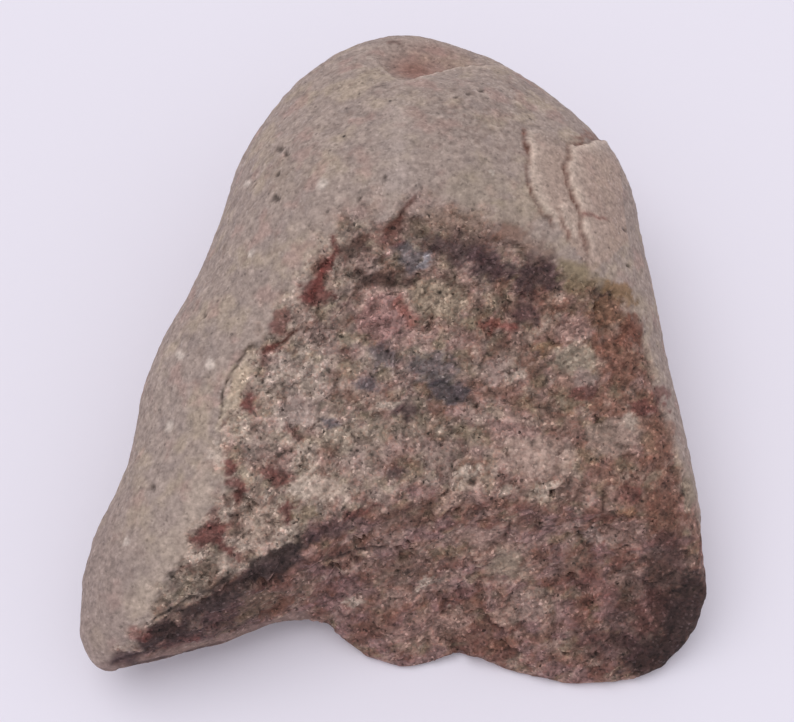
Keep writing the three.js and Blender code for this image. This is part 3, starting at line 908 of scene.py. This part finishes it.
# %% Pale quartz
PALE_QUARTZ = [
    (CREAM, -14, -14.2, 2, 1.7, 0, 0.9), ((182, 164, 154), -10.5, -14.4, 3.2, 1.6, 0, 0.85),
    (GREY, -14.1, -2.4, 2.8, 2.2, 20, 0.8), (GREY, -11.3, 7.9, 3, 2.5, 0, 0.7),
    (CREAM, -9.4, 18.6, 1, 0.9, 0, 0.8), ((156, 140, 125), 6, 14.1, 5, 2.8, -15, 0.8),
    (CREAM, -1.5, -1.9, 1.9, 0.9, 0, 0.8), (PINK, 8.2, -3.4, 1.6, 0.8, 0, 0.8),
    (CREAM, 17.6, 2.1, 2, 0.9, 25, 0.7), (GREY, 14.1, 3.1, 3, 1.9, 0, 0.6),
    ((146, 134, 122), 26.7, 4.6, 3.4, 1.9, -10, 0.85), (GREY, 28.2, 1.8, 2.2, 1.5, -40, 0.8),
    (CREAM, 10.4, -12.2, 2.2, 1.1, 20, 0.8), ((170, 147, 139), 21, -9.5, 5, 3.5, -10, 0.8),
    (CREAM, 21.9, -15, 1.9, 0.8, 20, 0.7), (CREAM, 16.3, -14.8, 1.3, 0.8, 0, 0.7),
    (PINK, 17, -5.6, 5, 1, -8, 0.6), ((150, 130, 122), 32.6, -6.7, 4, 2.6, 15, 0.8),
    (CREAM, 34.8, -4.8, 1.5, 1.1, 0, 0.6), (PINK, 2, -8.4, 5, 1.2, 8, 0.4),
    (OLIVE, 1, -5.5, 5, 1.6, 10, 0.5), ((160, 146, 134), -7, -6.6, 4.6, 1.8, -12, 0.75),
    ((158, 140, 134), -12.5, -4, 3.6, 2, -10, 0.7),
    ((184, 166, 149), -24.2, 0.4, 1.1, 6, -21, 0.9), (CREAM, -26.9, -9.2, 0.9, 1.2, 0, 0.8),
    (BEIGE, -29.6, -16, 1.9, 4.8, -15, 0.8), (BEIGE, -33, -23.2, 1.9, 4.2, -25, 0.8),
    (BEIGE, -37, -29.6, 1.8, 3.4, -35, 0.7), (GREY, -20, -8, 3, 2.6, 30, 0.5),
    ((176, 154, 146), -7.5, -11, 3.2, 2.2, 0, 0.5), (BROWN, -10.4, -8.4, 1.6, 0.8, 30, 0.6),
    ((178, 162, 156), -14.7, 2.6, 5, 3.2, -20, 0.5),
    ((172, 156, 152), -16, -3.2, 3, 2.2, -30, 0.5),
    ((112, 98, 86), -30.5, -27.6, 6, 1.8, 38, 0.5),
    ((142, 126, 100), -13.6, -17.8, 2, 1.2, 0, 0.5), (GREY, 6, -8.5, 4, 2, 0, 0.45),
    ((126, 102, 96), -15, -29.6, 3.4, 1.5, 28, 0.6), (CREAM, -16.5, -21, 1.6, 1.2, 30, 0.6),
    (BEIGE, -20, -19.5, 3.4, 2.4, 20, 0.5),
]
paint = stain(paint, PALE_QUARTZ)
print("pale quartz:", len(PALE_QUARTZ), "stains")

# %% [markdown]
# ### Blue-grey in the middle
# A group of blue-grey patches sits in the middle of the face. Next to so much red brown, even a
# nearly neutral grey looks blue, so these colours are only slightly cool.

# %% Blue-grey in the middle
BLUE_GREY = [
    (BLUE, -2.3, 5.2, 2.4, 1.7, 0, 0.65), (BLUE, 5.5, 3.4, 3.6, 2.6, -20, 0.7),
    ((72, 66, 74), 7.5, -0.2, 2.8, 1.8, -10, 0.85), (BLUE, -5, 1.3, 1.8, 1.3, 0, 0.75),
    (BLUE, -9.6, -4.6, 1.4, 0.9, 0, 0.8), (PURPLE, 1.5, -3.1, 2.5, 1, 0, 0.8),
    (PURPLE, -0.3, -12.4, 1.9, 1.1, 10, 0.7), (GREY, -4, -9.4, 3.6, 2.6, 0, 0.5),
]
paint = stain(paint, BLUE_GREY)
print("blue-grey in the middle:", len(BLUE_GREY), "stains")

# %% [markdown]
# ### Olive film above the break
# Above the break the worn skin carries a thin olive and brown film. It is laid on weakly, so that
# the skin shows through it.

# %% Olive film above the break
OLIVE_FILM = [
    ((150, 137, 116), 12, 30, 4.4, 3, 0, 0.25), ((148, 132, 112), 17.5, 26.5, 3.6, 2.2, -10, 0.3),
    ((146, 130, 114), -18, 33, 2.4, 3.4, 20, 0.25), ((138, 116, 102), 8, 25.6, 6, 1.8, -5, 0.45),
    ((136, 112, 100), 19, 22.6, 4, 1.6, -15, 0.5),
]
paint = stain(paint, OLIVE_FILM)
print("olive film above the break:", len(OLIVE_FILM), "stains")

# %% [markdown]
# ### Rust and ochre on the right
# The right side of the upper face is the rustiest. Ochre lies at its top corner, under the
# shells, and rust and maroon go down its side.

# %% Rust and ochre on the right
RUST_AND_OCHRE = [
    ((118, 62, 56), 15.1, 9.8, 3, 0.8, -12, 0.7), ((140, 126, 104), 26.6, 17.3, 3, 1.7, -10, 0.7),
    ((126, 109, 86), 28, 17.4, 4.2, 2.2, -25, 0.6), ((112, 92, 74), 29.5, 15, 4, 1.6, -15, 0.55),
    (OCHRE, 33.6, 15.4, 3.1, 1.7, -20, 0.85), ((116, 84, 66), 32, 12, 3.2, 2.2, 0, 0.7),
    (UMBER, 30.7, 14.8, 1.8, 0.6, -10, 0.7), ((112, 72, 60), 35.6, 9.6, 2.2, 2.6, -20, 0.8),
    (RUST, 31.9, 6.9, 3.4, 1.4, 0, 0.8), (RUST, 34.6, 4.1, 3.2, 1.9, 0, 0.8),
    (PINK, 26.8, 9.4, 2.8, 1.6, 0, 0.5), (MAROON, 28.3, 0, 2.2, 1, 15, 0.75),
    (MAROON, 36.8, -2.5, 3.4, 0.9, 5, 0.85), (MAROON, 40, -0.4, 1.4, 1.3, 0, 0.7),
    (OCHRE, 22.6, 6.6, 2.4, 0.9, 20, 0.5), (RUST, 39.4, -8, 2.4, 4, 0, 0.6),
    ((104, 70, 60), 39.6, -17, 3, 5, 0, 0.7), (OLIVE, 38.6, -13, 1.5, 0.9, 20, 0.6),
    ((92, 62, 54), 40.8, -18.6, 1.6, 0.9, -20, 0.6), (MAROON, 34.3, -15.4, 2.8, 1.2, 0, 0.75),
    (OCHRE, 33.8, -17.9, 1.8, 0.8, 0, 0.45), (MAROON, 39.9, -22.4, 2, 1.2, 0, 0.6),
    (OLIVE, 44.3, -15, 1.2, 3.4, 0, 0.8), (RUST, 22.5, 13.6, 2.4, 1.3, -30, 0.5),
    (RUST, 30.5, 41.3, 3.2, 0.9, 18, 0.6),
]
paint = stain(paint, RUST_AND_OCHRE)
print("rust and ochre on the right:", len(RUST_AND_OCHRE), "stains")

# %% [markdown]
# ### Dark rock and painted shade under the ridge
# Just under the ridge the rock is almost black on the left, by the wing: part dark rock, part
# painted shade on the steep face below the ridge. These stains make the ridge read as an edge
# from far away.

# %% Dark rock and painted shade under the ridge
UNDER_RIDGE_STAINS_AND_SHADE = [
    ((74, 55, 57), -28, -33.6, 10, 3, 24, 0.7), (MAROON, -33, -37.4, 3, 0.9, 15, 0.6),
    ((122, 104, 96), -30, -34.2, 1.6, 0.7, 25, 0.6), ((118, 98, 92), -26, -35, 2.2, 0.6, 15, 0.5),
    # slate stains along the ridge: dark rock with painted shade
    (SLATE, -18.6, -25.4, 5.2, 2, 33, 0.95), (SLATE, -14.2, -22.4, 3, 1, 36, 0.75),
    (SLATE, -23.5, -28.1, 2.8, 1.2, 30, 0.85), (SLATE, -28, -31.4, 4, 1.7, 30, 0.9),
    (PURPLE, -10.1, -20.3, 3.4, 1.5, 15, 0.75), (MAROON, -5.6, -17.7, 2.4, 0.9, 12, 0.75),
    ((60, 44, 44), -34.5, -35.6, 4.4, 1.8, 22, 0.9), (MAROON, -38.4, -35.4, 1.4, 1.1, 20, 0.7),
    (UMBER, -22, -33.5, 5, 1.3, 25, 0.6), ((132, 112, 96), -21.5, -31.8, 4, 1.4, 28, 0.5),
    (BROWN, 1.1, -18.5, 5, 1.6, 8, 0.6), (BROWN, 1, -27, 5, 3, 15, 0.6),
    (BROWN, 27, -27, 3.5, 2.4, 0, 0.55), (BROWN, 17, 6.6, 2.6, 1.8, 0, 0.5),
]
paint = stain(paint, UNDER_RIDGE_STAINS_AND_SHADE)
print("slate and umber under the ridge:", len(UNDER_RIDGE_STAINS_AND_SHADE), "stains")

# %% [markdown]
# ### The lower facet and a painted shadow
# The lower facet is red brown with a few pale plates and crumbs. Its right corner, by the foot,
# is painted a deep purple brown, mostly a painted shadow over the red brown rock.

# %% The lower facet
LOWER_FACET_AND_PAINTED_SHADOW = [
    (UMBER, 27.1, -22, 0.9, 0.7, 0, 0.6), (GREY, 29.5, -22, 1.8, 1.3, 0, 0.75),
    ((166, 140, 132), 13, -22, 2.9, 1.7, 15, 0.8),
    ((150, 134, 122), 16.4, -26.2, 3.1, 2.1, 10, 0.85), (CREAM, 4.9, -29.6, 1.9, 0.7, 25, 0.8),
    (CREAM, 8.1, -33.8, 0.5, 0.4, 0, 0.9), (CREAM, -7, -32.6, 1.3, 0.6, 15, 0.7),
    (MAROON, -11.6, -30.2, 2.2, 1, 20, 0.45), (RUST, -18.1, -32.4, 2.6, 1.2, 30, 0.7),
    (MAROON, 12.7, -30.4, 4, 0.7, 15, 0.5), (MAROON, 30, -29.5, 4.4, 1.8, -20, 0.5),
    (RUST, 17, -39.1, 2.6, 1.4, 10, 0.7), ((158, 138, 130), 20, -33, 5, 2.6, 15, 0.5),
    # from the umber at (39, -34) on: a painted shadow darkening the right corner by the foot
    ((150, 122, 112), 4, -37, 6, 3, 10, 0.5), (UMBER, 39, -34, 6.5, 9, 0, 0.65),
    (MAROON, 39, -34, 2.6, 3.5, 0, 0.5), (UMBER, 41, -26, 4, 5, 0, 0.65),
    ((48, 33, 33), 39.7, -41, 5.4, 3.4, 15, 0.85), ((58, 40, 39), 40.5, -34, 3.4, 3.4, 0, 0.5),
    ((50, 36, 36), 44.4, -34, 3.4, 7, -10, 0.85), ((72, 50, 52), 32, -39, 5.5, 2.6, -5, 0.6),
]
paint = stain(paint, LOWER_FACET_AND_PAINTED_SHADOW)
print("lower facet:", len(LOWER_FACET_AND_PAINTED_SHADOW), "stains")

# %% [markdown]
# ## Rims, ledges, pits and cracks
# The carved marks come last, over the stains: the rubbed rim of the wing with its purple tip, the
# pale rim of the lump, the lips of the ledges with their painted highlight and their crevices, the
# pits, and the filling of each crack. They reuse the masks of the relief, so colour and form can't
# drift apart.

# %% Rims, ledges, pits and cracks
wing_tip = ease(1.4, 0.7, oval(-40.5, -39.6, 2.6, 1.2, 12, 0.6)) * topside
paint = washed(paint, (128, 108, 103), worn_rim * 0.7)
paint = washed(paint, PURPLE, 0.8 * wing_tip)
paint = washed(paint, (192, 166, 158), lump_rim * 0.65 * topside)
# painted highlight along the lips of the ledges
paint = washed(paint, (186, 166, 156), ledge_lip_highlight * 0.45)
paint = washed(paint, (84, 60, 54), ledge_foot * 0.6)
paint = washed(paint, (72, 60, 55), pits * 0.75)
for (*_, colour), mask in zip(CRACKS, crack_masks):
    paint = washed(paint, colour, mask * 0.9)
print("cracks painted:", len(crack_masks))

# %% [markdown]
# ## Painted shade in the hollows, painted highlight on the edges
# Hollows are darkened as painted shade, and edges lightened as a painted highlight, by the
# measure made above. The bare rock is also a touch warmer than its stains were mixed. Plates and
# the worn rim count as less raw than the rest, so the grain is calmer there. Both results are
# stored on the corners under the names that the material looks for.

# %% Shade in the hollows
HOLLOW_SHADE_AND_EDGE_HIGHLIGHT = 0.2
# painted shade in the hollows, painted highlight on the edges
paint *= (1 - hollow * (HOLLOW_SHADE_AND_EDGE_HIGHLIGHT + 0.04 * raw_rock))[:, None]
paint *= 1 - raw_rock[:, None] * np.array((0.02, 0.05, 0.09))
raw_rock *= 1 - 0.45 * plate
raw_rock *= 1 - 0.8 * worn_rim
colour_layer = stone_mesh.color_attributes.new("paint", "FLOAT_COLOR", "POINT")
colour_layer.data.foreach_set("color", np.column_stack((paint, np.ones(count))).ravel())
broken_layer = stone_mesh.attributes.new("broken", "FLOAT", "POINT")
broken_layer.data.foreach_set("value", raw_rock)
print("stored: paint and broken, on", count, "corners")

# %% [markdown]
# ## The stone's finish
# The mesh carries everything wider than about a millimetre, and the material adds the sand grains.
# Modelling a million grains would be slow and would show no better. The material reads the
# stone's own coordinates and the two stored layers. Three short helpers keep it readable: `node`
# adds one node with its links, `calc` one calculation, and `ramp` one change of range.

# %% Material helpers
finish = bpy.data.materials.new("worn_and_broken_quartzite")
finish.use_nodes = True
nodes, links = finish.node_tree.nodes, finish.node_tree.links
shader = nodes["Principled BSDF"]
shader.inputs["Specular IOR Level"].default_value = 0.35

def node(kind, inputs=(), **settings):
    """A node with its settings, and its inputs linked from sockets or set to values."""
    made = nodes.new(kind)
    for name, value in settings.items():
        setattr(made, name, value)
    for socket, value in dict(inputs).items():
        if hasattr(value, "is_linked"):
            links.new(value, made.inputs[socket])
        else:
            made.inputs[socket].default_value = value
    return made

def calc(operation, *values):
    """The result of one calculation."""
    return node("ShaderNodeMath", dict(enumerate(values)), operation=operation).outputs[0]

def ramp(value, low, high, low_result=0.0, high_result=1.0):
    """A value moved from the range low to high into the range of the two results."""
    sockets = {"Value": value, "From Min": low, "From Max": high, "To Min": low_result,
               "To Max": high_result}
    return node("ShaderNodeMapRange", sockets).outputs["Result"]

print("material nodes so far:", len(nodes))

# %% [markdown]
# ## Grains, speckles and blotches
# Random cells of 0.38 mm stand for the sand grains. Each cell rolls three dice, its red, green
# and blue. One makes it lighter or darker, one picks the iron grains and the few quartz faces that
# get a painted glint, and one the dark gaps. Two noises, at 0.8 and 1.7 mm, add speckles and
# blotches between the size of a grain and of a chip.

# %% Grains, speckles and blotches
where = node("ShaderNodeTexCoord").outputs["Object"]
paint_colour = node("ShaderNodeAttribute", attribute_name="paint").outputs["Color"]
rawness = node("ShaderNodeAttribute", attribute_name="broken").outputs["Fac"]

GRAIN = 0.38 * MM
SPECKLE, BLOTCH = 0.8, 1.7
grains = node("ShaderNodeTexVoronoi", {"Vector": where, "Scale": 1 / GRAIN}, feature="F1")
grain_dice = node("ShaderNodeSeparateColor", {"Color": grains.outputs["Color"]})
speckle = node("ShaderNodeTexNoise", {"Vector": where, "Scale": 1 / (SPECKLE * MM), "Detail": 3.0})
blotch = node("ShaderNodeTexNoise", {"Vector": where, "Scale": 1 / (BLOTCH * MM), "Detail": 4.0})
print("grains, mm:", round(GRAIN / MM, 2), "- speckles:", SPECKLE, "- blotches:", BLOTCH)

# %% [markdown]
# ## Pocks and flecks
# Wider cells, of 2.4 mm, hold at most one small round spot each. About half of the cells get a
# dark pock and one in six a pale fleck, as the cell's dice say.

# %% Pocks and flecks
POCK_SPACING = 2.4 * MM
pocks = node("ShaderNodeTexVoronoi", {"Vector": where, "Scale": 1 / POCK_SPACING}, feature="F1")
pock_dice = node("ShaderNodeSeparateColor", {"Color": pocks.outputs["Color"]})
pock_spot = ramp(pocks.outputs["Distance"], 0.14, 0.07)
dark_pock = calc("MULTIPLY", pock_spot, ramp(pock_dice.outputs["Red"], 0.5, 0.55))
pale_fleck = calc("MULTIPLY", pock_spot, ramp(pock_dice.outputs["Red"], 0.2, 0.15))
print("pocks every", round(POCK_SPACING / MM, 1), "mm")

# %% [markdown]
# ## Brightness of each grain
# Every pattern swings the brightness up or down from 1, by one amount on the worn skin and
# another on raw rock. On the skin the river has rubbed the grains down, so their contrast is much
# lower. The amounts are a table: pattern, swing on skin, swing on rock.

# %% Brightness of each grain
grain_swing = calc("SUBTRACT", grain_dice.outputs["Red"], 0.5)
speckle_swing = calc("SUBTRACT", speckle.outputs["Fac"], 0.5)
blotch_swing = calc("SUBTRACT", blotch.outputs["Fac"], 0.5)
# painted glint: the few quartz faces are made much brighter in colour
painted_glint = ramp(grain_dice.outputs["Green"], 0.93, 0.97)
dark_gap = ramp(grain_dice.outputs["Blue"], 0.92, 0.95)
brightness = 1.0
SWINGS = (
    (grain_swing, 0.2, 0.54), (speckle_swing, 0.95, 1.35), (blotch_swing, 0.5, 1.35),
    (painted_glint, 0.12, 0.75), (dark_gap, -0.16, -0.34), (dark_pock, -0.4, -0.4), (pale_fleck, 0.25, 0.3),
)
for part, on_skin, on_rock in SWINGS:
    brightness = calc("MULTIPLY_ADD", part, ramp(rawness, 0, 1, on_skin, on_rock), brightness)
brightness = calc("MAXIMUM", brightness, 0.15)
print("patterns in the brightness:", len(SWINGS))

# %% [markdown]
# ## Colour and sheen
# On raw rock about one grain in six is tinted by iron. The tint multiplies the paint, so it stays
# natural on every stain. Then the brightness, with its painted glints, scales the colour. The
# surface is matt, and only the glinting quartz faces have a little sheen.

# %% Colour and sheen
iron_dice = ramp(grain_dice.outputs["Green"], 0.2, 0.16)
iron_grain = calc("MULTIPLY", iron_dice, ramp(rawness, 0, 1, 0, 0.35))
tinted = node(
    "ShaderNodeMix", {"Factor": iron_grain, 6: paint_colour, 7: (1.05, 0.76, 0.7, 1)},
    data_type="RGBA", blend_type="MULTIPLY",
)
lit = node("ShaderNodeVectorMath", {0: tinted.outputs[2], "Scale": brightness}, operation="SCALE")
links.new(lit.outputs["Vector"], shader.inputs["Base Color"])
links.new(ramp(painted_glint, 0, 1, 0.85, 0.45), shader.inputs["Roughness"])
print("roughness: 0.85, and 0.45 on a quartz face")

# %% [markdown]
# ## Grain you can feel
# The last of the relief is finer than the mesh: each grain stands up a little in its middle,
# speckles make low swells, and pocks are sunk. A bump does this, and one unit of its height
# counts as 0.18 mm. It is half as strong on the worn skin.

# %% Bump of the grains
BUMP_DEPTH = 0.18 * MM
grain_height = calc("MULTIPLY_ADD", grains.outputs["Distance"], -0.9, grain_swing)
height = calc("MULTIPLY_ADD", speckle.outputs["Fac"], 1.6, grain_height)
height = calc("MULTIPLY_ADD", dark_pock, -1.5, height)
bump = node(
    "ShaderNodeBump",
    {"Height": height, "Strength": ramp(rawness, 0, 1, 0.35, 0.7), "Distance": BUMP_DEPTH},
)
links.new(bump.outputs["Normal"], shader.inputs["Normal"])
stone_mesh.materials.clear()
stone_mesh.materials.append(finish)
print("material nodes:", len(nodes))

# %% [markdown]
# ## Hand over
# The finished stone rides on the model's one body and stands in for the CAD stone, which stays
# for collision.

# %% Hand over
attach(stone, "root")
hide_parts(STONE_NODE)
